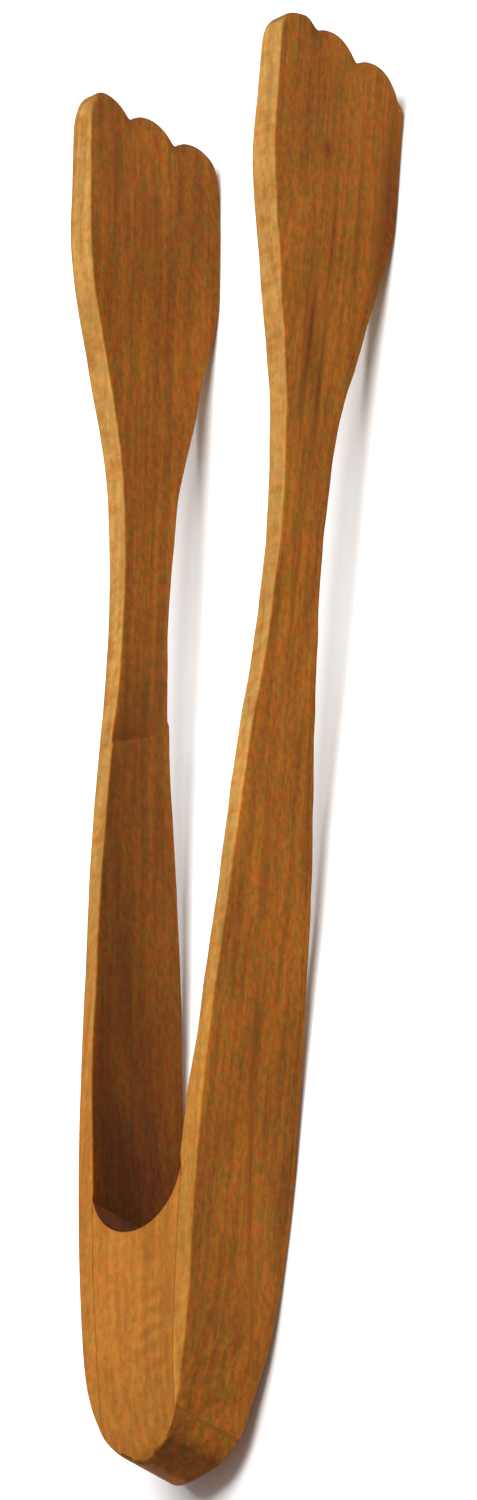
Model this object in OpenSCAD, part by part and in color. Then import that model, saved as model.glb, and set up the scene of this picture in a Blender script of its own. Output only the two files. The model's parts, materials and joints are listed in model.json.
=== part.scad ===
// Spring tongs of plain hardwood for lifting wet prints.
// Two thin arms are glued to the sides of a spacer block at the butt end. They spread
// from there to broad tips, each with a row of rounded lobes, and spring apart by
// themselves when the squeeze ends.
// The tongs lie on one long edge, as they rest on a bench: +Y runs from the butt to the
// tips, X across the opening and +Z up. The origin is on the bench, under the middle.
// Places along the tongs are measured from the butt end.

/* [Overall] */
// Length from the butt end to the tips of the lobes
length = 215; // [200:1:225]
// Angle between each arm and the centre line, in degrees
arm_angle = 2.95; // [2.6:0.05:3.4]
// Slope at which the tongs lie on a bench, butt end lower, in degrees
rest_slope = 1.2; // [1:0.05:1.3]

/* [Butt] */
// Distance across both arms at the floor of the slot
butt_w = 20.8; // [19:0.1:23]
// Place of the floor of the slot
slot_floor_at = 32.5; // [30:0.5:38]
// Thickness of each arm where it is glued to the block
root_t = 2.6; // [2.4:0.1:3.4]
// Thickness of each glue line
glue_t = 0.15; // [0.1:0.05:0.2]
// Thickness of the thin lips that the block leaves beside its rounded slot floor
lip_t = 0.5; // [0.4:0.1:0.8]
// Length over which the butt rounds off towards its end, seen from the long edge
nose_side_l = 28; // [22:1:32]
// Length of the blunt facets that finish the very end of the butt
facet_l = 1.6; // [1.2:0.1:2.4]
// Length over which the butt rounds off towards its end, seen from the broad face
nose_face_l = 42; // [36:1:46]
// Width of the very end of the butt, seen from the broad face
end_w = 7; // [6:0.2:8]

/* [Arm thickness] */
// Thickness of the springy handle part
handle_t = 2.3; // [1.8:0.1:2.4]
// Place where the arm has thinned to the handle thickness
thin_at = 56; // [50:1:58]
// Place where the arm begins to thicken again
thicken_at = 86; // [80:1:95]
// Thickness at the handle side of a small step on the inner face
step_t = 2.7; // [2.6:0.05:2.8]
// Place of that step
step_at = 115; // [105:1:120]
// Height of that step, down towards the tip
step_h = 0.25; // [0.1:0.05:0.3]
// Length over which it drops
step_l = 1; // [0.5:0.5:2]
// Thickness at the narrowest place of the arm
neck_t = 2.9; // [2.6:0.1:3.2]
// Thickness of the broad tip
tip_t = 3.9; // [3.3:0.1:4.2]

/* [Arm outline] */
// Width of the arm in the hand
grip_w = 18.6; // [16:0.2:20]
// Width where the hand's part ends and the taper begins
hand_end_w = 16; // [15:0.2:17]
// Place where the taper begins
hand_end_at = 80; // [76:1:84]
// Width halfway down the taper
taper_w = 13.4; // [12:0.2:14]
// Place halfway down the taper
taper_at = 100; // [95:1:105]
// Width near the end of the taper
taper_end_w = 9.9; // [9.3:0.1:10.5]
// Place near the end of the taper
taper_end_at = 120; // [116:1:123]
// Width of the narrowest place
neck_w = 8.6; // [7.6:0.2:9.6]
// Place of the narrowest place
neck_at = 136; // [130:1:140]
// Width where the flare begins
flare_start_w = 10.2; // [9.8:0.2:10.6]
// Place where the flare begins
flare_start_at = 153; // [150:1:155]
// Width halfway up the flare
flare_w = 17.5; // [16:0.1:19]
// Place halfway up the flare
flare_at = 172; // [168:1:174]
// Place where the flare has opened to the full width of the tip
tip_at = 193; // [188:1:196]
// Width of the broad tip
tip_w = 25.2; // [23:0.2:26]

/* [Lobes] */
// Number of lobes at each tip
lobe_count = 3; // [2:1:3]
// Distance from one lobe to the next
lobe_pitch = 8.5; // [7:0.1:8.8]
// Radius of each lobe
lobe_r = 5.1; // [4.8:0.1:5.6]

/* [Flex] */
// Place of the hinge that stands for the bending of each arm
flex_at = 60; // [59:1:70]
// Clearance in that hinge
flex_gap = 0.1; // [0.05:0.05:0.2]

/* [Hidden] */
$fn = 48;
wood_edge = [0.80, 0.58, 0.32];
wood_face = [0.66, 0.42, 0.20];
glue_brown = [0.36, 0.20, 0.09];
slope = tan(arm_angle);
butt_half = butt_w / 2;
grip_half = grip_w / 2;
tip_half = tip_w / 2;
lobe_at = length - lobe_r;
slot_r = outer_x(slot_floor_at) - root_t - glue_t;
slot_centre_at = slot_floor_at + slot_r;
lip_end_at = slot_centre_at - sqrt(2 * slot_r * lip_t);
flex_r = handle_t / 2;
side_power = 2.6;   // exponent of the nose seen from the long edge: 2 would be an ellipse
face_power = 2;     // the same, seen from the broad face
nose_steps = 14;
curve_steps = 6;
over = 60;          // reach of a cutting shape past the wood
eps = 0.01;

// Half the width of the arm at its main places, past the nose
width_stations = [
    [nose_face_l, grip_half], [hand_end_at, hand_end_w / 2], [taper_at, taper_w / 2],
    [taper_end_at, taper_end_w / 2], [neck_at, neck_w / 2], [flare_start_at, flare_start_w / 2],
    [flare_at, flare_w / 2], [tip_at, tip_half], [lobe_at, tip_half]
];
// Thickness of the free arm at its main places, before the step and past it
handle_stations = [[flex_at, handle_t], [thicken_at, handle_t], [step_at, step_t]];
thickness_stations = [
    [step_at + step_l, step_t - step_h], [neck_at, neck_t], [tip_at, tip_t], [length + eps, tip_t]
];

// Heights above the bench: the lowest point of the outline sets the lift
outline_half = concat(nose(nose_face_l, end_w / 2, grip_half, face_power), smooth(width_stations));
lift = max([for (p = outline_half) p[1] * cos(rest_slope) - along(p[0]) * sin(rest_slope)]);
tip_shift = lobe_pitch * (lobe_count - 1) / 4 * sin(rest_slope);

// Distance of an arm's outer face from the centre line
function outer_x(at) = butt_half + slope * (at - slot_floor_at);
// Place along the tongs as a distance from their middle
function along(at) = at - length / 2;
// Points of a nose that rounds up from one half width to another over a length
function nose(l, end_half, half, power) = [
    for (i = [0 : nose_steps - 1]) let (u = pow(i / nose_steps, 2))
    [u * l, end_half + (half - end_half) * pow(1 - pow(1 - u, power), 1 / power)]
];
// Slope of a smooth curve at a station, level wherever the curve turns back
function rise(p, i) = (p[i + 1][1] - p[i][1]) / (p[i + 1][0] - p[i][0]);
function tangent(p, i) = i == 0 || i == len(p) - 1 ? 0
    : rise(p, i - 1) * rise(p, i) <= 0 ? 0
    : 2 * rise(p, i - 1) * rise(p, i) / (rise(p, i - 1) + rise(p, i));
function hermite(u, a, b, ta, tb) = a * (2 * u ^ 3 - 3 * u ^ 2 + 1) + b * (3 * u ^ 2 - 2 * u ^ 3)
    + ta * (u ^ 3 - 2 * u ^ 2 + u) + tb * (u ^ 3 - u ^ 2);
// Points of a smooth curve through all the stations
function smooth(p) = concat([
    for (i = [0 : len(p) - 2]) let (d = p[i + 1][0] - p[i][0])
    for (k = [0 : curve_steps - 1]) let (u = k / curve_steps)
    [p[i][0] + u * d, hermite(u, p[i][1], p[i + 1][1], d * tangent(p, i), d * tangent(p, i + 1))]
], [p[len(p) - 1]]);

// Lays the tongs down on the bench, from a centre line along Y
module lie() {
    translate([0, -tip_shift, lift]) rotate([rest_slope, 0, 0]) children();
}

module mirrored(side) {
    scale([side, 1, 1]) children();
}

// The broad face's outline, cut through the full width of the opening
module face_cut() {
    rotate([0, 90, 0]) linear_extrude(2 * over, center = true) {
        polygon(concat(
            [for (p = outline_half) [p[1], along(p[0])]],
            [for (i = [len(outline_half) - 1 : -1 : 0]) [-outline_half[i][1], along(outline_half[i][0])]]
        ));
        intersection() {
            for (i = [0 : lobe_count - 1])
                translate([(i - (lobe_count - 1) / 2) * lobe_pitch, along(lobe_at)]) circle(lobe_r);
            translate([-tip_half, along(tip_at)]) square([tip_w, length]);
        }
    }
}

// Everything between the two outer faces, with the rounded nose, seen from the long edge
module side_cut() {
    line = concat(
        [[0, along(0)]],
        [for (p = nose(nose_side_l, 0, 1, side_power)) if (p[0] >= facet_l)
            [p[1] * outer_x(p[0]), along(p[0])]],
        [for (at = [nose_side_l, length + 1]) [outer_x(at), along(at)]]
    );
    linear_extrude(over, center = true) polygon(concat(
        line, [for (i = [len(line) - 1 : -1 : 1]) [-line[i][0], line[i][1]]]
    ));
}

// A slab parallel to the right arm's outer face, from one depth under it to another
module layer(depth_from, depth_to, from, to) {
    linear_extrude(over, center = true) polygon([
        [outer_x(from) - depth_from, along(from)], [outer_x(to) - depth_from, along(to)],
        [outer_x(to) - depth_to, along(to)], [outer_x(from) - depth_to, along(from)]
    ]);
}

// The hinge cylinder that stands for the bending of the right arm
module flex_round(r) {
    translate([outer_x(flex_at) - flex_r, along(flex_at), 0]) cylinder(h = over, r = r, center = true);
}

module spacer_block() {
    inner = root_t + glue_t;
    color(wood_edge) lie() difference() {
        intersection() {
            face_cut();
            side_cut();
            linear_extrude(over, center = true) polygon([
                [outer_x(0) - inner, along(0)], [outer_x(lip_end_at) - inner, along(lip_end_at)],
                [inner - outer_x(lip_end_at), along(lip_end_at)], [inner - outer_x(0), along(0)]
            ]);
        }
        translate([0, along(slot_centre_at), 0]) cylinder(h = over + 1, r = slot_r, center = true, $fn = 64);
    }
}

module glue_line(side) {
    color(glue_brown) lie() mirrored(side) intersection() {
        face_cut();
        side_cut();
        layer(root_t, root_t + glue_t, 0, lip_end_at);
    }
}

module arm_root(side) {
    color(wood_face) lie() mirrored(side) difference() {
        intersection() {
            face_cut();
            side_cut();
            linear_extrude(over, center = true) polygon([
                [over, along(-1)], [outer_x(-1) - root_t, along(-1)],
                [outer_x(lip_end_at) - root_t, along(lip_end_at)],
                [outer_x(thin_at) - handle_t, along(thin_at)],
                [outer_x(flex_at) - handle_t, along(flex_at)], [over, along(flex_at)]
            ]);
        }
        flex_round(flex_r + flex_gap);
    }
}

module arm_blade(side) {
    inner = concat(handle_stations, smooth(thickness_stations));
    color(wood_face) lie() mirrored(side) intersection() {
        face_cut();
        union() {
            linear_extrude(over, center = true) polygon(concat(
                [[outer_x(flex_at), along(flex_at)], [outer_x(length + 1), along(length + 1)]],
                [for (i = [len(inner) - 1 : -1 : 0])
                    [outer_x(inner[i][0]) - inner[i][1], along(inner[i][0])]]
            ));
            flex_round(flex_r);
        }
    }
}

spacer_block();
glue_line(-1);  // left_glue_line
glue_line(1);  // right_glue_line
arm_root(-1);  // left_arm_root
arm_root(1);  // right_arm_root
arm_blade(-1);  // left_arm_blade
arm_blade(1);  // right_arm_blade
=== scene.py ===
import json
import math

import bmesh
import bpy
import numpy as np
from mathutils import Matrix, Vector


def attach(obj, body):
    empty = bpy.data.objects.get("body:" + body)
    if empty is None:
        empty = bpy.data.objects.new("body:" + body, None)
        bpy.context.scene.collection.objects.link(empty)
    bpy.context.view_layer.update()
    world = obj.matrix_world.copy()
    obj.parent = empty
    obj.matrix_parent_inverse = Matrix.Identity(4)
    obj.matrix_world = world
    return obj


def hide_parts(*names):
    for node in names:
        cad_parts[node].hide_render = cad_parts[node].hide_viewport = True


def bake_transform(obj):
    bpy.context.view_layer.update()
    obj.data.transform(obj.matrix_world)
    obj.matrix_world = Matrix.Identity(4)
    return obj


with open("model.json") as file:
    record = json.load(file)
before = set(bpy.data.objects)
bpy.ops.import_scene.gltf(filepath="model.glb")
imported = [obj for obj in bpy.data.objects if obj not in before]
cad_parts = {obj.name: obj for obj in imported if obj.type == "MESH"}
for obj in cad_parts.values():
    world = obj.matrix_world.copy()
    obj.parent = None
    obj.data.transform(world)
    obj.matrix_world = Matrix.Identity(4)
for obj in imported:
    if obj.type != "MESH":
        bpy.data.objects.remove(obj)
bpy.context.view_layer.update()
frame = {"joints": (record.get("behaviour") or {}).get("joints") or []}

MM = 0.001

# Driving dimensions in millimetres: s is measured along the tongs from the butt end, x across
# them from the centre line, and w up from it, along the width of the arms. Where the two arms
# differ, -1 is the left one and 1 the right one.
SIDES = (-1, 1)
LENGTH = 215.0
ARM_SLOPE = math.tan(math.radians(2.95))
BUTT_HALF = 10.4           # outer face to centre line, at the slot floor
SLOT_FLOOR = 32.5
ROOT_T = 2.6               # thickness of an arm where it is glued
GLUE_T = 0.15
FLEX_AT = 60.0             # the hinge that stands for the bending
BLEND_HALF = 24.0          # a length before and after the hinge; the two places it gives are worked out but not used

# Butt end
NOSE_SIDE = {-1: 22.0, 1: 28.0}    # the outer faces turn in over this length
SIDE_POWER = 2.6           # along a superellipse of this power
NOSE_FACE = 42.0           # its width, along w, shrinks over this length
END_HALF = 3.5             # and this is half of what is left of it at the very end
LEFT_NOSE = (0.05, 0.092)  # the left side of the very end: s = a x + b x^2
LEFT_TURN = 14             # how sharply that turns into the left side
FACET = 1.6                # length of the blunt facet at the very end, on the right
FAR_TRIM = 0.6             # how much more the underside of the nose is rounded off
FEATHER = 0.03             # thickness of an arm at its feathered end on the nose
NOSE_SPACING = 0.04        # between the places at which the nose is worked out

# Slot floor, a little off centre
SLOT_X0 = 0.7
SLOT_HALF = {-1: 8.5, 1: 7.5}      # half widths to the left and right of SLOT_X0
SLOT_POWER = {-1: 2.0, 1: 2.18}
SLOT_RISE = 8.2            # how far the floor runs forward at its sides
LIP_AT = 39.0              # where the lips of the block run out
GLUE_END = {-1: 37.4, 1: 37.6}

# Lobed tips
TIP_HALF = 12.55
TIP_ZONE = 190.0           # where the rows of the mesh start to follow the lobes
LOBE_R = 5.1
LOBES = {-1: [(-8.25, 214.95), (0.35, 215.1), (8.95, 215.15)],    # crests (w, s)
         1: [(-6.6, 213.0), (1.9, 213.8), (9.3, 214.2)]}
CORNERS = {-1: [(210.0, 5.15), (208.8, 6.15)],     # lower and upper corner of each tip:
           1: [(208.6, 5.6), (209.2, 3.8)]}        # start of the turn and its length
CORNER_LENGTH = 7.2        # the corner as drawn, before it is fitted to that length
CORNER_RADIUS = 17.0       # how it begins to turn in
CORNER_DROP = 0.8          # how much further it has turned in at its end
SOFTEN = 0.55              # how much sanding has rounded the outline of the lobes
LEAN = 0.25                # how far the edges of a tip lie out of line, the lower one inwards

# Inner faces
STEP_AT = 115.0
STEP_HEIGHTS = {-1: 0.25, 1: 0.08}
SWELLS = {-1: 0.3, 1: 0.65}        # how much thicker an arm is just past the slot floor

# Rounded edges
EDGE_R = 0.42              # the long edges of the arms
TIP_R = 0.8                # round the lobes
BLOCK_R = 0.4
SEAM_R = 0.03              # along the glued seams
GLUE_R = 0.005
ROUND_SHARE = 0.42         # the most that a rounding takes of the thickness
FACE_INSET = 1.2           # how far inside the outline the flat of an arm's face ends
BLOCK_INSET = 0.5          # the same for the block

# Unevenness left by hand sanding
FACE_WAVER = 0.03
EDGE_WAVER = 0.05
TIP_EASE = 0.35            # how far the lower edge of a tip is eased off its outer face
NOSE_EASE = 0.5            # the same for the lower edge of the nose

# Half width of an arm, its thickness, and how far each arm bows out from its straight line
WIDTHS = [(NOSE_FACE, 9.3), (80, 8.0), (100, 6.7), (120, 4.95), (136, 4.3), (153, 5.1),
          (172, 8.75), (193, TIP_HALF), (LENGTH, TIP_HALF)]
THICKNESSES = [(0, ROOT_T), (38, ROOT_T), (56, 2.3), (90, 2.4), (112, 2.72), (136, 2.92),
               (160, 3.4), (180, 3.95), (190, 4.1), (204, 3.8), (LENGTH, 3.5)]
BOWS = {-1: [(0, 0), (10, 0), (20, -0.28), (36, -0.22), (62, 0), (82, 0), (102, 0.38),
             (125, 0.2), (140, -0.1), (160, -0.2), (177, 0.2), (192, -0.05), (LENGTH, -0.4)],
        1: [(0, 0), (10, 0), (22, 0.25), (36, 0.2), (56, 0), (68, 0), (82, 0.22), (98, -0.1),
            (130, 0), (148, -0.18), (166, -0.1), (187, 0.42), (201, 0.05), (LENGTH, -0.35)]}

# Painted shade on the inner faces, deeper towards the slot, by the place along them: (s, strength)
INNER_SHADE = [(SLOT_FLOOR, 1), (48, 0.95), (62, 0.66), (80, 0.42), (95, 0.36), (108, 0.17),
         (121, 0.12), (150, 0)]
# painted shade on the slot floor
INNER_SHADE_ON_FLOOR = 1.2

# Dark grain figure, a small knot, scorched places, and a band of painted shade along the far edge
# of the right tip: (w, s, half width, half length, strength)
OUTER_MARKS_AND_SHADE = {-1: [(3.0, 186, 0.5, 9, 0.5), (-2.0, 160, 0.4, 12, 0.5), (1.5, 92, 0.5, 14, 0.4)],
               1: [(2.3, 195, 0.9, 1.5, 1.0), (2.0, 167, 0.5, 9, 1.2), (3.1, 172, 0.3, 7, 0.8),
                   (-0.3, 181, 0.45, 8, 1.0), (-0.6, 158, 0.4, 8, 1.0),
                   # the first of these is painted shade along the far edge of the tip, where it
                   # turns away from the light
                   (-11.6, 187, 3.0, 17, 1.0), (-4.6, 190, 0.35, 12, 0.45),
                   (0.6, 128, 0.5, 9, 0.4), (1.6, 88, 0.5, 12, 0.4)]}
INNER_MARKS = [(4.6, 108.5, 1.0, 2.6, 0.5), (0.3, 110.5, 0.6, 1.6, 0.4),
               (1.0, 198, 1.6, 6.0, 0.35), (7.5, 203, 1.6, 7.0, 0.4)]
FACING = (0.4, 0.9)        # a point belongs to a face between these cosines


# ---------------------------------------------------------------- shape of the wood

def smooth_curve(stations):
    """A smooth curve through the stations, level wherever it turns back."""
    x, y = np.array(stations, float).T
    rise = np.diff(y) / np.diff(x)
    slope = np.zeros(len(x))
    for i in range(1, len(x) - 1):
        a, b = rise[i - 1], rise[i]
        slope[i] = 0 if a * b <= 0 else 2 * a * b / (a + b)

    def value(at):
        at = np.clip(np.asarray(at, float), x[0], x[-1])
        i = np.clip(np.searchsorted(x, at, side="right") - 1, 0, len(x) - 2)
        d = x[i + 1] - x[i]
        u = (at - x[i]) / d
        return (y[i] * (2 * u**3 - 3 * u**2 + 1) + y[i + 1] * (3 * u**2 - 2 * u**3)
                + d * slope[i] * (u**3 - 2 * u**2 + u) + d * slope[i + 1] * (u**3 - u**2))
    return value


def ramp(x, low, high):
    """0 up to low, 1 from high on, and smooth between them."""
    u = np.clip((np.asarray(x, float) - low) / (high - low), 0, 1)
    return u * u * (3 - 2 * u)


def wobble(s, seed, size):
    """A slow unevenness left by hand sanding."""
    waves = [(0.041, 1.0), (0.093, 0.55), (0.17, 0.3)]
    return size * sum(a * np.sin(2 * math.pi * f * s + seed * (k + 1.7))
                      for k, (f, a) in enumerate(waves))


grip_curve = smooth_curve(WIDTHS)
thickness_curve = smooth_curve(THICKNESSES)
bow_curves = {side: smooth_curve(BOWS[side]) for side in SIDES}


def half_width(s):
    """Half width of an arm, with the rounded nose of the butt."""
    s = np.asarray(s, float)
    u = np.clip(s / NOSE_FACE, 0, 1)
    nose = END_HALF + (WIDTHS[0][1] - END_HALF) * np.sqrt(1 - (1 - u) ** 2)
    return np.where(s < NOSE_FACE, nose, grip_curve(s))


def far_half(s):
    """Half width on the underside, where the nose is rounded off more."""
    return half_width(s) - FAR_TRIM * (1 - ramp(s, 8, 48))


def width_offset(s, side):
    """The left arm is a little wider than the right one between the hand and the tip."""
    return (0.02 - 0.13 * side) * ramp(s, 60, 80) * (1 - ramp(s, 178, 192))


def arm_thickness(s, side):
    """Thickness of an arm, without its step. The right one is a little thicker."""
    s = np.asarray(s, float)
    swell = SWELLS[side] * ramp(s, 37.5, 41.5) * (1 - ramp(s, 49, 61))
    uneven = 0.12 * np.exp(-((s - 72) / 14) ** 2) + 0.18 * ramp(s, 165, 180)
    return thickness_curve(s) + swell + side * uneven


def arm_line(s, side):
    """The outer face of an arm, without its nose: nearly straight."""
    return BUTT_HALF + ARM_SLOPE * (s - SLOT_FLOOR) + bow_curves[side](s)


def outer_face(s, side):
    """The outer face with its nose: a blunt facet ends it on the right, a curve on the left."""
    def face(at):
        u = np.clip(at / NOSE_SIDE[side], 0, 1)
        return arm_line(at, side) * (1 - (1 - u) ** SIDE_POWER) ** (1 / SIDE_POWER)
    s = np.asarray(s, float)
    if side > 0:
        return np.where(s < FACET, s / FACET * face(FACET), face(s))
    a, b = LEFT_NOSE
    side_curve = np.maximum(face(s), 1e-6)
    end_curve = np.maximum((np.sqrt(a * a + 4 * b * s) - a) / (2 * b), 1e-6)
    return side_curve * (1 + (side_curve / end_curve) ** LEFT_TURN) ** (-1 / LEFT_TURN)


def block_side(s, side):
    """The glued side of the block."""
    return arm_line(s, side) - ROOT_T - GLUE_T


nose_at = np.arange(0, NOSE_SIDE[1] + 1, NOSE_SPACING)


def nose_passes(line, side, by=0.0):
    """Where the nose, going forward, comes out past a line inside the butt."""
    return float(np.interp(by, outer_face(nose_at, side) - line, nose_at))


LAMINA_START = {side: nose_passes(arm_line(nose_at, side) - ROOT_T, side, FEATHER)
                for side in SIDES}
BLOCK_NOSE_END = {side: nose_passes(block_side(nose_at, side), side) for side in SIDES}


# ---------------------------------------------------------------- placing

joints = {j["name"]: j for j in frame["joints"]}
flex = joints["right_arm_flex"]
UP = Vector(flex["axis"])
ACROSS = Vector((1, 0, 0))
ALONG = UP.cross(ACROSS)
CENTRE = Vector(flex["pos_m"]) - ACROSS * flex["pos_m"][0]   # centre line, at the hinge


def place(x, s, w):
    """Row-frame points from distances across, along and up the tongs, in millimetres."""
    x, s, w = np.broadcast_arrays(x, s, w)
    local = np.stack([x, s - FLEX_AT, w], -1) * MM
    axes = np.array([ACROSS, ALONG, UP])
    return local @ axes + np.array(CENTRE)


# ---------------------------------------------------------------- mesh building

def ring_of(grid):
    """The closed boundary of a grid, in order."""
    return np.concatenate([grid[0, :], grid[1:, -1], grid[-1, -2::-1], grid[-2:0:-1, 0]])


def plate(name, inner, outline, top, bottom, edge_r, to_xsw, walls=3, arc=4, marks_and_shade=None):
    """A closed plate: two face grids joined by rounded edges that follow the outline.

    inner and outline are grids of plan positions (a, b), the second is only used on its boundary.
    top and bottom give the height of each face over a plan position, and edge_r is the pair of
    roundings, at the top and at the bottom."""
    rows, columns = inner.shape[:2]
    count = rows * columns
    plan = inner.reshape(-1, 2)
    points = [np.column_stack([plan, top(plan)]), np.column_stack([plan, bottom(plan)])]
    index = np.arange(count).reshape(rows, columns)
    faces = []
    for grid, flip in ((index, False), (index + count, True)):
        corners = [grid[:-1, :-1], grid[:-1, 1:], grid[1:, 1:], grid[1:, :-1]]
        quads = np.stack(corners, -1).reshape(-1, 4)
        faces.append(quads[:, ::-1] if flip else quads)
    ring_in, ring_out = ring_of(inner), ring_of(outline)
    inward = ring_in - ring_out
    inward /= np.linalg.norm(inward, axis=1)[:, None]
    r_top, r_bottom = (r(ring_out) for r in edge_r)
    rings = []
    for k in range(arc + 1):
        phi = math.pi / 2 * k / arc
        at = ring_out + inward * (r_top * (1 - math.sin(phi)))[:, None]
        rings.append(np.column_stack([at, top(at) - r_top * (1 - math.cos(phi))]))
    upper = rings[-1][:, 2]
    lower = bottom(ring_out) + r_bottom
    for k in range(1, walls):
        rings.append(np.column_stack([ring_out, upper + (lower - upper) * k / walls]))
    for k in range(arc, -1, -1):
        phi = math.pi / 2 * k / arc
        at = ring_out + inward * (r_bottom * (1 - math.sin(phi)))[:, None]
        rings.append(np.column_stack([at, bottom(at) + r_bottom * (1 - math.cos(phi))]))
    ring_len = len(ring_out)
    loops = [ring_of(index)]
    for k, ring in enumerate(rings):
        points.append(ring)
        loops.append(2 * count + k * ring_len + np.arange(ring_len))
    loops.append(ring_of(index + count))
    for a, b in zip(loops, loops[1:]):
        faces.append(np.stack([a, b, np.roll(b, -1), np.roll(a, -1)], -1))
    x, s, w = to_xsw(np.concatenate(points))
    return make_mesh(name, x, s, w, np.concatenate(faces), marks_and_shade)


def make_mesh(name, x, s, w, faces, marks_and_shade=None):
    mesh = bpy.data.meshes.new(name)
    mesh.from_pydata(place(x, s, w).tolist(), [], faces.tolist())
    mesh.validate()
    work = bmesh.new()
    work.from_mesh(mesh)
    bmesh.ops.recalc_face_normals(work, faces=work.faces)
    work.to_mesh(mesh)
    work.free()
    mesh.polygons.foreach_set("use_smooth", [True] * len(mesh.polygons))
    piece = bpy.data.objects.new(name, mesh)
    bpy.context.scene.collection.objects.link(piece)
    describe_wood(mesh, x, s, w, marks_and_shade)
    return piece


def describe_wood(mesh, x, s, w, marks_and_shade):
    """What the materials read at each point: its place in the wood, and wear, marks, painted shade
    and a painted sheen.
    """
    normals = np.array([v.normal for v in mesh.vertices]) @ np.array([ACROSS, ALONG, UP]).T
    facing = normals[:, 0] * np.sign(x)
    set_attribute(mesh, "wood_at", "FLOAT_VECTOR", np.column_stack([x, w, s]))
    set_attribute(mesh, "edge_face", "FLOAT", ramp(np.abs(normals[:, 2]), 0.45, 0.85))
    across_grain = np.abs(normals[:, 1])
    end_grain_and_shade = np.where(s < LENGTH / 2, ramp(across_grain, 0.35, 0.8),
                         0.8 * ramp(across_grain, 0.15, 0.6))
    shade_by_side = 0.35 + 0.65 * ramp(x, -1.5, 1.5)      # painted shade: the nose's end grain is darker on its right, where its facet faces away from the light
    set_attribute(mesh, "end_grain_and_shade", "FLOAT", end_grain_and_shade * np.where(s < SLOT_FLOOR / 2, shade_by_side, 1))
    # rounded long edges, paler from rubbed wear and a painted sheen
    rim_wear_and_sheen = ramp(np.minimum(np.abs(normals[:, 0]), np.abs(normals[:, 2])), 0.2, 0.6)
    set_attribute(mesh, "rim_wear_and_sheen", "FLOAT", rim_wear_and_sheen * ramp(s, 8, 16))
    floor = ramp(normals[:, 1], 0.2, 0.6) * (s < SLOT_FLOOR + 9)
    reach = np.interp(s, *zip(*INNER_SHADE))
    reach = reach * (1 + 0.16 * ramp(w, 2, 8) * (1 - ramp(s, 45, 80)))
    # painted shade on the inner faces and on the slot floor
    inner_shade = np.maximum(ramp(-facing, *FACING) * reach, INNER_SHADE_ON_FLOOR * floor)
    set_attribute(mesh, "inner_shade", "FLOAT", inner_shade)
    set_attribute(mesh, "marks_and_shade", "FLOAT", marks_and_shade(w, s, facing) if marks_and_shade else np.zeros(len(s)))


def set_attribute(mesh, name, kind, values):
    attribute = mesh.attributes.new(name, kind, "POINT")
    field = "vector" if kind == "FLOAT_VECTOR" else "value"
    attribute.data.foreach_set(field, np.asarray(values, np.float32).ravel())


# ---------------------------------------------------------------- arms

def tip_curve(side, columns=84):
    """Plan positions (w, s) round the lobed end of an arm, with their inward normals."""
    w = np.linspace(-TIP_HALF, TIP_HALF, 1201)
    s = np.max([top - LOBE_R + np.sqrt(np.clip(LOBE_R**2 - (w - at) ** 2, 0, None))
                for at, top in LOBES[side]], axis=0)
    for end, (start, turn) in zip((-1, 1), CORNERS[side]):
        rise = np.linspace(0, 12, 400)
        reach = rise * (CORNER_LENGTH / turn)
        turned_in = (reach**2 / (2 * CORNER_RADIUS)
                     + CORNER_DROP * (reach / CORNER_LENGTH) ** 6)
        s = np.minimum(s, start + np.interp(TIP_HALF - end * w, turned_in, rise))
    run_up = TIP_ZONE + 5
    path = np.concatenate([
        np.column_stack([np.full(400, -TIP_HALF), np.linspace(run_up, s[0], 400)]),
        np.column_stack([w, s]),
        np.column_stack([np.full(400, TIP_HALF), np.linspace(s[-1], run_up, 400)])])
    # even spacing, then softened by sanding
    spacing, taps = 0.05, 30
    length = np.concatenate([[0], np.cumsum(np.hypot(*np.diff(path, axis=0).T))])
    even = np.arange(0, length[-1], spacing)
    path = np.column_stack([np.interp(even, length, path[:, i]) for i in (0, 1)])
    weight = np.exp(-(np.arange(-taps, taps + 1) * spacing / SOFTEN) ** 2 / 2)
    weight /= weight.sum()
    path = np.column_stack([np.convolve(path[:, i], weight, "same") for i in (0, 1)])
    path = path[2 * taps:-2 * taps]
    inside = np.nonzero(np.abs(path[:, 0]) < TIP_HALF - 0.004)[0]
    path = path[inside[0]:inside[-1] + 1]
    pick = np.round(np.linspace(0, len(path) - 1, columns)).astype(int)
    along = np.gradient(path, axis=0)
    inward = np.column_stack([along[:, 1], -along[:, 0]]) / np.hypot(*along.T)[:, None]
    return path[pick], inward[pick]


def arm_rows(side):
    """Rows of the mesh up to the tip: close at the feathered end and at the step."""
    wide, close = 1.2, 0.3
    rows = [np.geomspace(1, 20, 26) - 1 + LAMINA_START[side]]
    for spacing, end in ((wide, STEP_AT - 6), (close, STEP_AT + 10), (wide, TIP_ZONE)):
        rows.append(np.arange(rows[-1][-1] + spacing, end, spacing))
    return np.concatenate(rows)


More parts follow.
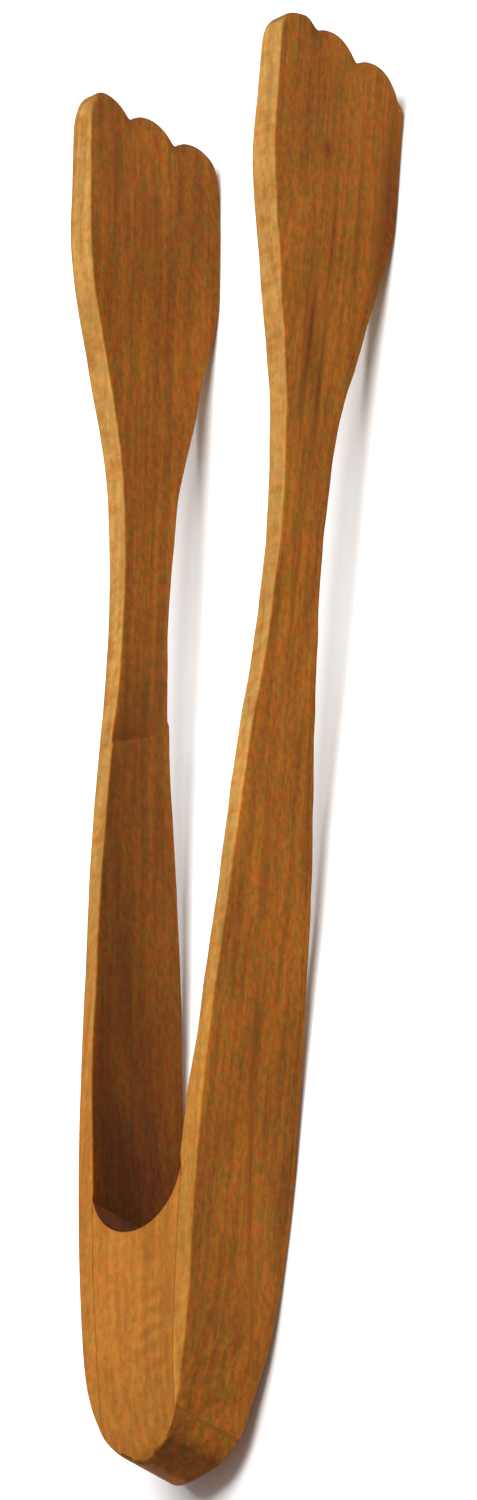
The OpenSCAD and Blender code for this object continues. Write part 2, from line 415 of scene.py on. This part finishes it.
def arm_plan(side, inset, tip_rows=18):
    """Grid of plan positions (w, s) of an arm, drawn in by an inset from its outline."""
    rows = arm_rows(side)
    tip, inward = tip_curve(side)
    tip = tip + inset * inward
    w_tip, s_tip = tip.T
    share = w_tip / np.where(w_tip < 0, -w_tip[0], w_tip[-1])

    def across(s):
        slope = (half_width(s + 0.1) - half_width(s - 0.1)) / 0.2
        draw_in = inset * np.sqrt(1 + np.clip(slope, -1, 1) ** 2)
        half = np.where(share < 0, far_half(s), half_width(s))
        return (half + width_offset(s, side) - draw_in) * share

    body_s = np.repeat(rows[:, None], len(share), 1)
    body_s[0] += min(inset, 0.1)
    u = np.linspace(0, 1, tip_rows + 1)[1:, None]
    tip_s = TIP_ZONE + u * (s_tip - TIP_ZONE)[None, :]
    tip_w = across(tip_s) * (1 - ramp(u, 0.6, 1)) + w_tip[None, :] * ramp(u, 0.6, 1)
    return np.stack([np.concatenate([across(body_s), tip_w]), np.concatenate([body_s, tip_s])], -1)


def step_line(w):
    """The oblique place of the small step on an inner face."""
    return STEP_AT + 0.9 - 0.5 * w - 0.02 * w**2 + 0.085 * np.clip(0.5 - w, 0, 6) ** 2


def arm_marks_and_shade(side):
    """Strength of the dark marks and painted shade at a place on an arm, by the way its surface
    faces.
    """
    valleys = [((a[0] + b[0]) / 2 + 0.6, (a[1] + b[1]) / 2 - 2.2, 1.0, 1.2, 0.8)
               for a, b in zip(LOBES[side], LOBES[side][1:])]

    def total(places, w, s):
        return sum(k * np.exp(-((w - a) / b) ** 2 - ((s - c) / d) ** 2) for a, c, b, d, k in places)

    def marks_and_shade(w, s, facing):
        grain_line = np.interp(s, [17, 35, 55, 75], [-4.0, -1.2, 0.4, 0.9])
        grain = (0.6 * np.exp(-((w - side * grain_line) / 0.5) ** 2)
                 * (1 - ramp(s, 55, 80)) * ramp(s, 8, 18))
        past = s - step_line(w)
        # painted shade on the rise just past the small step, where the inner face turns away from
        # the light
        step_shade = (ramp(past, -0.4, 0.4) * np.exp(-np.clip(past, 0, 40) / 2.4)
                * (0.25 + 0.75 * ramp(w, -3, 3)))
        outside, inside = ramp(facing, *FACING), ramp(-facing, *FACING)
        return (outside * (grain + total(OUTER_MARKS_AND_SHADE[side] + valleys, w, s))
                + inside * (step_shade + total(INNER_MARKS + valleys, w, s)))
    return marks_and_shade


def make_arm(name, side):
    seed = 2.0 if side > 0 else 5.3

    def scoop(plan):
        past = plan[:, 1] - step_line(plan[:, 0])
        return STEP_HEIGHTS[side] * ramp(past, -0.4, 0.5) * (1 - ramp(past, 1.5, 11))

    def outer(plan):
        w, s = plan.T
        at_tip = TIP_EASE * ramp(-w / TIP_HALF, 0.62, 1.02) * ramp(s, 165, 185)
        at_nose = (NOSE_EASE * ramp(-w / half_width(s), 0.55, 1.0)
                   * (1 - ramp(s, 12, 50)) * ramp(s, LAMINA_START[side], 12))
        waver = wobble(s, seed, FACE_WAVER) * ramp(s, 45, 70)
        return outer_face(s, side) + waver - at_tip - at_nose

    def inner(plan):
        s = plan[:, 1]
        waver = wobble(s, seed + 3, FACE_WAVER) * ramp(s, 45, 70)
        return arm_line(s, side) - arm_thickness(s, side) + scoop(plan) - waver

    def limited(radius, plan):
        return np.minimum(radius, ROUND_SHARE * np.maximum(outer(plan) - inner(plan), 0.01))

    def rounding(plan):
        return EDGE_R + (TIP_R - EDGE_R) * ramp(plan[:, 1], 208, 212.5)

    def outer_edge(plan):
        return limited(rounding(plan), plan)

    def inner_edge(plan):
        free = ramp(plan[:, 1], 36, 44)
        return limited(SEAM_R + (rounding(plan) - 2 * SEAM_R) * free, plan)

    def to_xsw(points):
        w, s, height = points.T
        return side * (height + LEAN * w / TIP_HALF * ramp(s, 120, 190)), s, w

    outline, inset = arm_plan(side, 0.0), arm_plan(side, FACE_INSET)
    for grid in (outline, inset):
        s = grid[..., 1]
        grid[..., 0] += wobble(s, seed + 1, EDGE_WAVER) * ramp(s, 50, 80) * (1 - ramp(s, 175, 188))
    return plate(name, inset, outline, outer, inner, (outer_edge, inner_edge), to_xsw,
                 marks_and_shade=arm_marks_and_shade(side))


# ---------------------------------------------------------------- butt

def by_side(x, left, right):
    """One of two values, by the side of the centre line."""
    return np.where(x < 0, left, right)


def slot_floor(x):
    half = by_side(x - SLOT_X0, SLOT_HALF[-1], SLOT_HALF[1])
    u = np.clip((x - SLOT_X0) / half, -0.985, 0.985)
    power = by_side(u, SLOT_POWER[-1], SLOT_POWER[1])
    return SLOT_FLOOR + SLOT_RISE * (1 - (1 - np.abs(u) ** power) ** (1 / power))


def nose_front(x):
    """Where the block begins, for a place across it."""
    return by_side(x, *(np.interp(side * x, outer_face(nose_at, side), nose_at)
                        for side in SIDES))


def block_reach(s, x):
    """How far the block reaches across on the side of x, at s."""
    return by_side(x, block_side(s, -1), block_side(s, 1))


def block_plan(inset, columns=57, rows=47):
    """Grid of plan positions (x, s) of the block, closer together at its sides and its nose."""
    share = (np.sin(np.linspace(-1, 1, columns) * math.pi / 2 * 0.96)
             / math.sin(math.pi / 2 * 0.96))
    nose_end = by_side(share, BLOCK_NOSE_END[-1], BLOCK_NOSE_END[1])
    low_x = (block_reach(nose_end, share) - inset) * share
    high_x = (block_reach(LIP_AT, share) - inset) * share
    low_s = nose_front(low_x) + inset * 0.9
    high_s = slot_floor(high_x) - inset
    u = np.linspace(0, 1, rows) ** 1.35
    s = low_s[None, :] + u[:, None] * (high_s - low_s)[None, :]
    across = block_reach(np.maximum(s, nose_end[None, :]), share[None, :])
    x = (across - inset) * share[None, :]
    x[0] = low_x
    return np.stack([x, s], -1)


def make_block():
    def top(plan):
        return half_width(plan[:, 1])

    def bottom(plan):
        return -far_half(plan[:, 1])

    def edge(plan):
        x, s = plan.T
        nose_end = by_side(x, BLOCK_NOSE_END[-1], BLOCK_NOSE_END[1])
        glued = (np.abs(x) > block_reach(s, x) - 0.2) & (s > nose_end - 0.1)
        near_seam = ramp(s - nose_end, -2.5, 0)
        at_nose = BLOCK_R - (BLOCK_R - SEAM_R) * near_seam
        return np.where(glued, SEAM_R, np.where(s < SLOT_FLOOR - 3, at_nose, BLOCK_R))

    return plate("spacer_block_wood", block_plan(BLOCK_INSET), block_plan(0.0), top, bottom,
                 (edge, edge), lambda points: points.T, walls=10)


def make_glue(name, side):
    sink, inset_by = 0.04, 0.03       # below the wood, and inside its own outline
    start = BLOCK_NOSE_END[side] + 0.02
    s = np.concatenate([np.linspace(start, LAMINA_START[side], 8)[:-1],
                        np.linspace(LAMINA_START[side], GLUE_END[side], 54)])

    def plan(inset):
        low = block_side(s, side)
        high = np.minimum(low + GLUE_T, outer_face(s, side))
        inset = np.minimum(inset, (high - low) / 3)
        low, high = low + inset, high - inset
        along = np.repeat(s[:, None], 3, 1)
        along[0] += inset[0]
        along[-1] -= inset[-1]
        return np.stack([np.stack([low, (low + high) / 2, high], 1), along], -1)

    def top(points):
        return half_width(points[:, 1]) - sink

    def bottom(points):
        return sink - far_half(points[:, 1])

    def edge(points):
        return np.full(len(points), GLUE_R)

    def to_xsw(points):
        x, s, w = points.T
        return side * x, s, w

    return plate(name, plan(inset_by), plan(0.0), top, bottom, (edge, edge), to_xsw, arc=2)


# ---------------------------------------------------------------- materials

class Nodes:
    """Short calls for building a node material."""

    def __init__(self, name):
        self.material = bpy.data.materials.new(name)
        self.material.use_nodes = True
        self.tree = self.material.node_tree
        self.shader = self.tree.nodes["Principled BSDF"]

    def link(self, value, socket):
        if hasattr(value, "is_output"):
            self.tree.links.new(value, socket)
        else:
            socket.default_value = value

    def attribute(self, name, output="Fac"):
        node = self.tree.nodes.new("ShaderNodeAttribute")
        node.attribute_name = name
        return node.outputs[output]

    def scaled(self, vector, scale, shift=(0, 0, 0)):
        node = self.tree.nodes.new("ShaderNodeMapping")
        self.link(vector, node.inputs["Vector"])
        node.inputs["Scale"].default_value = scale
        node.inputs["Location"].default_value = shift
        return node.outputs["Vector"]

    def noise(self, vector, detail=2.0, roughness=0.5):
        node = self.tree.nodes.new("ShaderNodeTexNoise")
        self.link(vector, node.inputs["Vector"])
        node.inputs["Scale"].default_value = 1.0
        node.inputs["Detail"].default_value = detail
        node.inputs["Roughness"].default_value = roughness
        node.inputs["Distortion"].default_value = 0.0
        return node.outputs["Fac"]

    def math(self, kind, a, b=0.0):
        node = self.tree.nodes.new("ShaderNodeMath")
        node.operation = kind
        self.link(a, node.inputs[0])
        self.link(b, node.inputs[1])
        return node.outputs[0]

    def product(self, first, *others):
        for other in others:
            first = self.math("MULTIPLY", first, other)
        return first

    def less(self, whole, value, share):
        """What is left of the whole after a share of the value."""
        return self.math("SUBTRACT", whole, self.math("MULTIPLY", value, share))

    def distance(self, value, middle):
        return self.math("ABSOLUTE", self.math("SUBTRACT", value, middle))

    def spread(self, value, low, high, to_low=0.0, to_high=1.0):
        node = self.tree.nodes.new("ShaderNodeMapRange")
        node.interpolation_type = "SMOOTHSTEP"
        for key, setting in {"Value": value, "From Min": low, "From Max": high,
                             "To Min": to_low, "To Max": to_high}.items():
            self.link(setting, node.inputs[key])
        return node.outputs["Result"]

    def mix(self, factor, a, b, blend="MIX"):
        node = self.tree.nodes.new("ShaderNodeMix")
        node.data_type = "RGBA"
        node.blend_type = blend
        self.link(factor, node.inputs[0])
        self.link(a, node.inputs[6])
        self.link(b, node.inputs[7])
        return node.outputs[2]

    def stain(self, base, amount, tint):
        """The base colour multiplied by a tint, by the given amount."""
        return self.mix(amount, base, self.mix(1.0, base, tint, "MULTIPLY"))

    def split(self, vector):
        node = self.tree.nodes.new("ShaderNodeSeparateXYZ")
        self.link(vector, node.inputs[0])
        return node.outputs

    def bump(self, height, distance, strength, under=None):
        node = self.tree.nodes.new("ShaderNodeBump")
        self.link(height, node.inputs["Height"])
        node.inputs["Distance"].default_value = distance
        node.inputs["Strength"].default_value = strength
        if under is not None:
            self.link(under, node.inputs["Normal"])
        return node.outputs["Normal"]


def colour(r, g, b):
    return (r, g, b, 1.0)


# Colours of the wood by the direction in which the surface cuts it; the end-grain tone also stands
# for painted shade on the end facets
ARM_TONES = {"face": colour(0.258, 0.084, 0.0085), "edge": colour(0.37, 0.187, 0.047),
             "band": colour(0.33, 0.130, 0.024), "end": colour(0.13, 0.040, 0.005)}
LEFT_TONES = {**ARM_TONES, "butt_edge": colour(0.295, 0.108, 0.017)}
RIGHT_TONES = {**ARM_TONES, "butt_edge": colour(0.355, 0.150, 0.025)}
BLOCK_TONES = {**ARM_TONES, "edge": colour(0.31, 0.112, 0.017),
               "butt_edge": colour(0.31, 0.112, 0.017), "band": colour(0.34, 0.13, 0.022)}
# Tints that this colour is multiplied by
MOTTLE_TINTS = colour(0.86, 1.10, 0.95), colour(1.15, 0.90, 0.90)
# painted shade between the arms and on the slot floor
INNER_SHADE_TINT = colour(0.44, 0.33, 0.08)
# dark marks, and painted shade past the step and along the far edge of the right tip
MARK_AND_SHADE_TINT = colour(0.48, 0.33, 0.24)
# paler from rubbed wear, with a painted sheen
RUBBED_SHEEN_TINT = colour(1.22, 1.25, 1.3)
# Dark and light tone of the glue on a wide face and on a narrow one
GLUE_ON_FACE = colour(0.18, 0.059, 0.0065), colour(0.24, 0.078, 0.0085)
GLUE_ON_EDGE = colour(0.25, 0.090, 0.012), colour(0.30, 0.110, 0.016)

# The rippled figure in the middle of the block, in millimetres
RIPPLE_X, RIPPLE_S = 2.5, 17.0
RIPPLE_PITCH = 2.4         # radians per millimetre


def wood_material(name, tones, shift, ripple=0.0):
    """Sanded and oiled hardwood. Grain runs along the third wood coordinate, all in millimetres."""
    n = Nodes(name)
    at = n.attribute("wood_at", "Vector")
    edge_face = n.attribute("edge_face")
    x, _, s = n.split(at)

    def grain(across, along, detail, roughness=0.5):
        """Noise of so many features per millimetre across and along the grain."""
        return n.noise(n.scaled(at, (across, across, along), shift), detail, roughness)

    bend = grain(0.05, 0.008, 2.0)
    streaks = grain(0.8, 0.012, 4.0, 0.6)
    lines = grain(2.2, 0.02, 2.0, 0.6)
    fibres = grain(5.5, 0.16, 2.0, 0.6)
    pores = n.spread(grain(8.0, 0.45, 1.0), 0.66, 0.74)
    mottle = grain(0.8, 0.5, 3.0, 0.7)
    clouds = grain(0.09, 0.03, 2.0)
    specks = n.noise(n.scaled(at, (1.3, 1.3, 0.8), shift[1:] + shift[:1]), 2.0, 0.6)

    # growth rings, drawn out along the grain and gently bent
    moved = n.split(n.scaled(at, (1, 1, 1), shift))
    phase = 0.0
    for value, weight in ((moved[0], 1.1), (moved[1], 0.42), (bend, 6.0), (moved[2], 0.006)):
        phase = n.math("ADD", phase, n.math("MULTIPLY", value, weight))
    rings = n.math("PINGPONG", n.math("MULTIPLY", phase, 0.55), 0.5)

    # the narrow faces grow paler past the butt
    edge = n.mix(n.spread(s, 40.0, 105.0), tones["butt_edge"], tones["edge"])
    base = n.mix(edge_face, tones["face"], edge)
    # end grain, with painted shade on the end facets, deeper on the right of the nose
    base = n.mix(n.attribute("end_grain_and_shade"), base, tones["end"])
    # short bands across the narrow faces, where the rays are cut lengthwise
    bands = n.noise(n.scaled(at, (0.25, 0.35, 0.42), shift), 3.0, 0.6)
    base = n.mix(n.product(n.spread(bands, 0.47, 0.66), n.product(edge_face, 0.75)), base,
                 tones["band"])
    mottled = n.mix(n.spread(mottle, 0.36, 0.64), *MOTTLE_TINTS)
    base = n.stain(base, n.less(0.9, edge_face, 0.5), mottled)

    # light and dark in the grain: (figure, its low and high end, brightness at each)
    tone = n.spread(streaks, 0.32, 0.68, 0.80, 1.16)
    for figure, low, high, at_low, at_high in (
            (lines, 0.60, 0.72, 1.0, 0.85), (rings, 0.0, 0.5, 0.95, 1.04),
            (fibres, 0.3, 0.7, 0.93, 1.07), (clouds, 0.35, 0.65, 0.87, 1.12),
            (specks, 0.35, 0.65, 0.86, 1.13), (pores, 0.0, 1.0, 1.0, 0.82)):
        tone = n.product(tone, n.spread(figure, low, high, at_low, at_high))
    if ripple:
        turns = n.product(n.math("ADD", s, n.product(bend, 8.0)), RIPPLE_PITCH)
        there = n.product(n.spread(n.distance(x, RIPPLE_X), 1.5, 4.0, 1.0, 0.0), edge_face,
                          n.spread(n.distance(s, RIPPLE_S), 4.0, 9.0, 1.0, 0.2))
        rippled = n.product(n.math("SINE", turns), there, ripple)
        tone = n.product(tone, n.math("ADD", 1.0, rippled))
    tone = n.math("POWER", tone, n.less(1.0, edge_face, 0.35))
    grey = n.tree.nodes.new("ShaderNodeCombineColor")
    for socket in grey.inputs:
        n.link(tone, socket)
    base = n.mix(1.0, base, grey.outputs[0], "MULTIPLY")

    # handling and painted light: painted shade that deepens towards the slot, dark marks with
    # painted shade past the step and along a far edge, long edges rubbed paler with a painted sheen
    inner_shade = n.product(n.attribute("inner_shade"), n.spread(mottle, 0.2, 0.8, 0.9, 1.1))
    base = n.stain(base, inner_shade, INNER_SHADE_TINT)
    marks_and_shade = n.product(n.attribute("marks_and_shade"), n.spread(specks, 0.35, 0.62, 0.45, 1.1))
    base = n.stain(base, marks_and_shade, MARK_AND_SHADE_TINT)
    rubbed_and_sheen = n.product(n.attribute("rim_wear_and_sheen"), n.spread(clouds, 0.35, 0.65, 0.05, 0.4))
    base = n.stain(base, rubbed_and_sheen, RUBBED_SHEEN_TINT)
    n.link(base, n.shader.inputs["Base Color"])
    rough = n.spread(n.math("ADD", streaks, pores), 0.3, 1.2, 0.58, 0.76)
    n.link(n.less(rough, rubbed_and_sheen, 0.3), n.shader.inputs["Roughness"])
    n.shader.inputs["Specular IOR Level"].default_value = 0.04
    relief = n.bump(n.math("SUBTRACT", n.product(fibres, 0.5), pores), 0.06 * MM, 0.5)
    n.link(n.bump(mottle, 0.12 * MM, 0.25, relief), n.shader.inputs["Normal"])
    return n.material


def glue_material():
    n = Nodes("cured_glue")
    grains = n.noise(n.scaled(n.attribute("wood_at", "Vector"), (3.0, 3.0, 0.5)), 3.0)
    tone = n.spread(grains, 0.3, 0.7)
    base = n.mix(n.attribute("edge_face"), n.mix(tone, *GLUE_ON_FACE), n.mix(tone, *GLUE_ON_EDGE))
    n.link(base, n.shader.inputs["Base Color"])
    n.link(n.spread(grains, 0.3, 0.7, 0.5, 0.7), n.shader.inputs["Roughness"])
    n.shader.inputs["Specular IOR Level"].default_value = 0.06
    n.link(n.bump(grains, 0.05 * MM, 0.4), n.shader.inputs["Normal"])
    return n.material


# ---------------------------------------------------------------- build

left_wood = wood_material("arm_wood_left", LEFT_TONES, (37.0, 11.0, 250.0))
right_wood = wood_material("arm_wood_right", RIGHT_TONES, (0.0, 0.0, 0.0))
block_wood = wood_material("block_wood", BLOCK_TONES, (71.0, 5.0, 90.0), ripple=0.13)
glue = glue_material()

for name, side, wood in (("left_arm", -1, left_wood), ("right_arm", 1, right_wood)):
    arm = make_arm(name + "_wood", side)
    arm.data.materials.append(wood)
    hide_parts(name + "_root", name + "_blade")
    start, end = place(0.0, np.array([FLEX_AT - BLEND_HALF, FLEX_AT + BLEND_HALF]), 0.0)
    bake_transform(arm)

block = make_block()
block.data.materials.append(block_wood)
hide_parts("spacer_block")
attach(block, "butt")

for name, side in (("left_glue_line", -1), ("right_glue_line", 1)):
    line = make_glue(name + "_film", side)
    line.data.materials.append(glue)
    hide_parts(name)
    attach(line, "butt")


# ---------------------------------------------------------------- stage, light and camera

FLOOR_SIZE = 4.0                   # in metres, as for the lamp
LAMP_AT, LAMP_SIZE, LAMP_POWER = (0.3, 0.3, 1.6), 1.5, 46.0
WORLD_STRENGTH = 0.28
# Direction to the camera and its roll in degrees, its distance and the height of the frame at
# the tongs in millimetres, and what it looks at: a place along the centre line, and how far
# right of it and above it in the frame
AZIMUTH, ELEVATION, ROLL = 49.84, 37.71, -59.85
DISTANCE, FRAME_HEIGHT = 2580.0, 198.9
AIM_S, AIM_RIGHT, AIM_UP = 108.7, 4.1, 0.6


def make_floor():
    mesh = bpy.data.meshes.new("floor")
    work = bmesh.new()
    bmesh.ops.create_grid(work, x_segments=1, y_segments=1, size=FLOOR_SIZE)
    work.to_mesh(mesh)
    work.free()
    floor = bpy.data.objects.new("floor", mesh)
    bpy.context.scene.collection.objects.link(floor)
    n = Nodes("pale_floor")
    n.shader.inputs["Base Color"].default_value = colour(0.92, 0.92, 0.92)
    n.shader.inputs["Roughness"].default_value = 0.9
    n.shader.inputs["Specular IOR Level"].default_value = 0.1
    mesh.materials.append(n.material)


def make_lamp():
    """One large soft lamp above, facing the tongs."""
    light = bpy.data.lights.new("key", "AREA")
    light.shape = "DISK"
    light.size = LAMP_SIZE
    light.energy = LAMP_POWER
    lamp = bpy.data.objects.new("key", light)
    lamp.location = LAMP_AT
    lamp.rotation_mode = "QUATERNION"
    lamp.rotation_quaternion = (-Vector(LAMP_AT)).to_track_quat("-Z", "Y")
    bpy.context.scene.collection.objects.link(lamp)


def make_world():
    world = bpy.data.worlds.new("studio")
    world.use_nodes = True
    background = world.node_tree.nodes["Background"]
    background.inputs[0].default_value = colour(1, 1, 1)
    background.inputs[1].default_value = WORLD_STRENGTH
    bpy.context.scene.world = world
    bpy.context.scene.view_settings.view_transform = "Standard"


def make_camera():
    """The photograph's viewing angle: a long lens, with the tongs upright in the frame."""
    azimuth, elevation, roll = (math.radians(angle) for angle in (AZIMUTH, ELEVATION, ROLL))
    to_row = Matrix((ACROSS, ALONG, UP)).transposed()
    back = to_row @ Vector((math.sin(azimuth) * math.cos(elevation),
                            -math.cos(azimuth) * math.cos(elevation), math.sin(elevation)))
    level = to_row @ Vector((math.cos(azimuth), math.sin(azimuth), 0))
    rise = back.cross(level)
    right = level * math.cos(roll) + rise * math.sin(roll)
    up = back.cross(right)
    middle = Vector(place(0.0, AIM_S, 0.0)) + (right * AIM_RIGHT + up * AIM_UP) * MM
    data = bpy.data.cameras.new("camera")
    data.lens = data.sensor_width * DISTANCE / FRAME_HEIGHT
    data.clip_start, data.clip_end = 0.1, 20.0
    camera = bpy.data.objects.new("camera", data)
    turn = Matrix((right, up, back)).transposed().to_4x4()
    camera.matrix_world = Matrix.Translation(middle + back * DISTANCE * MM) @ turn
    bpy.context.scene.collection.objects.link(camera)
    bpy.context.scene.camera = camera


make_floor()
make_lamp()
make_world()
make_camera()
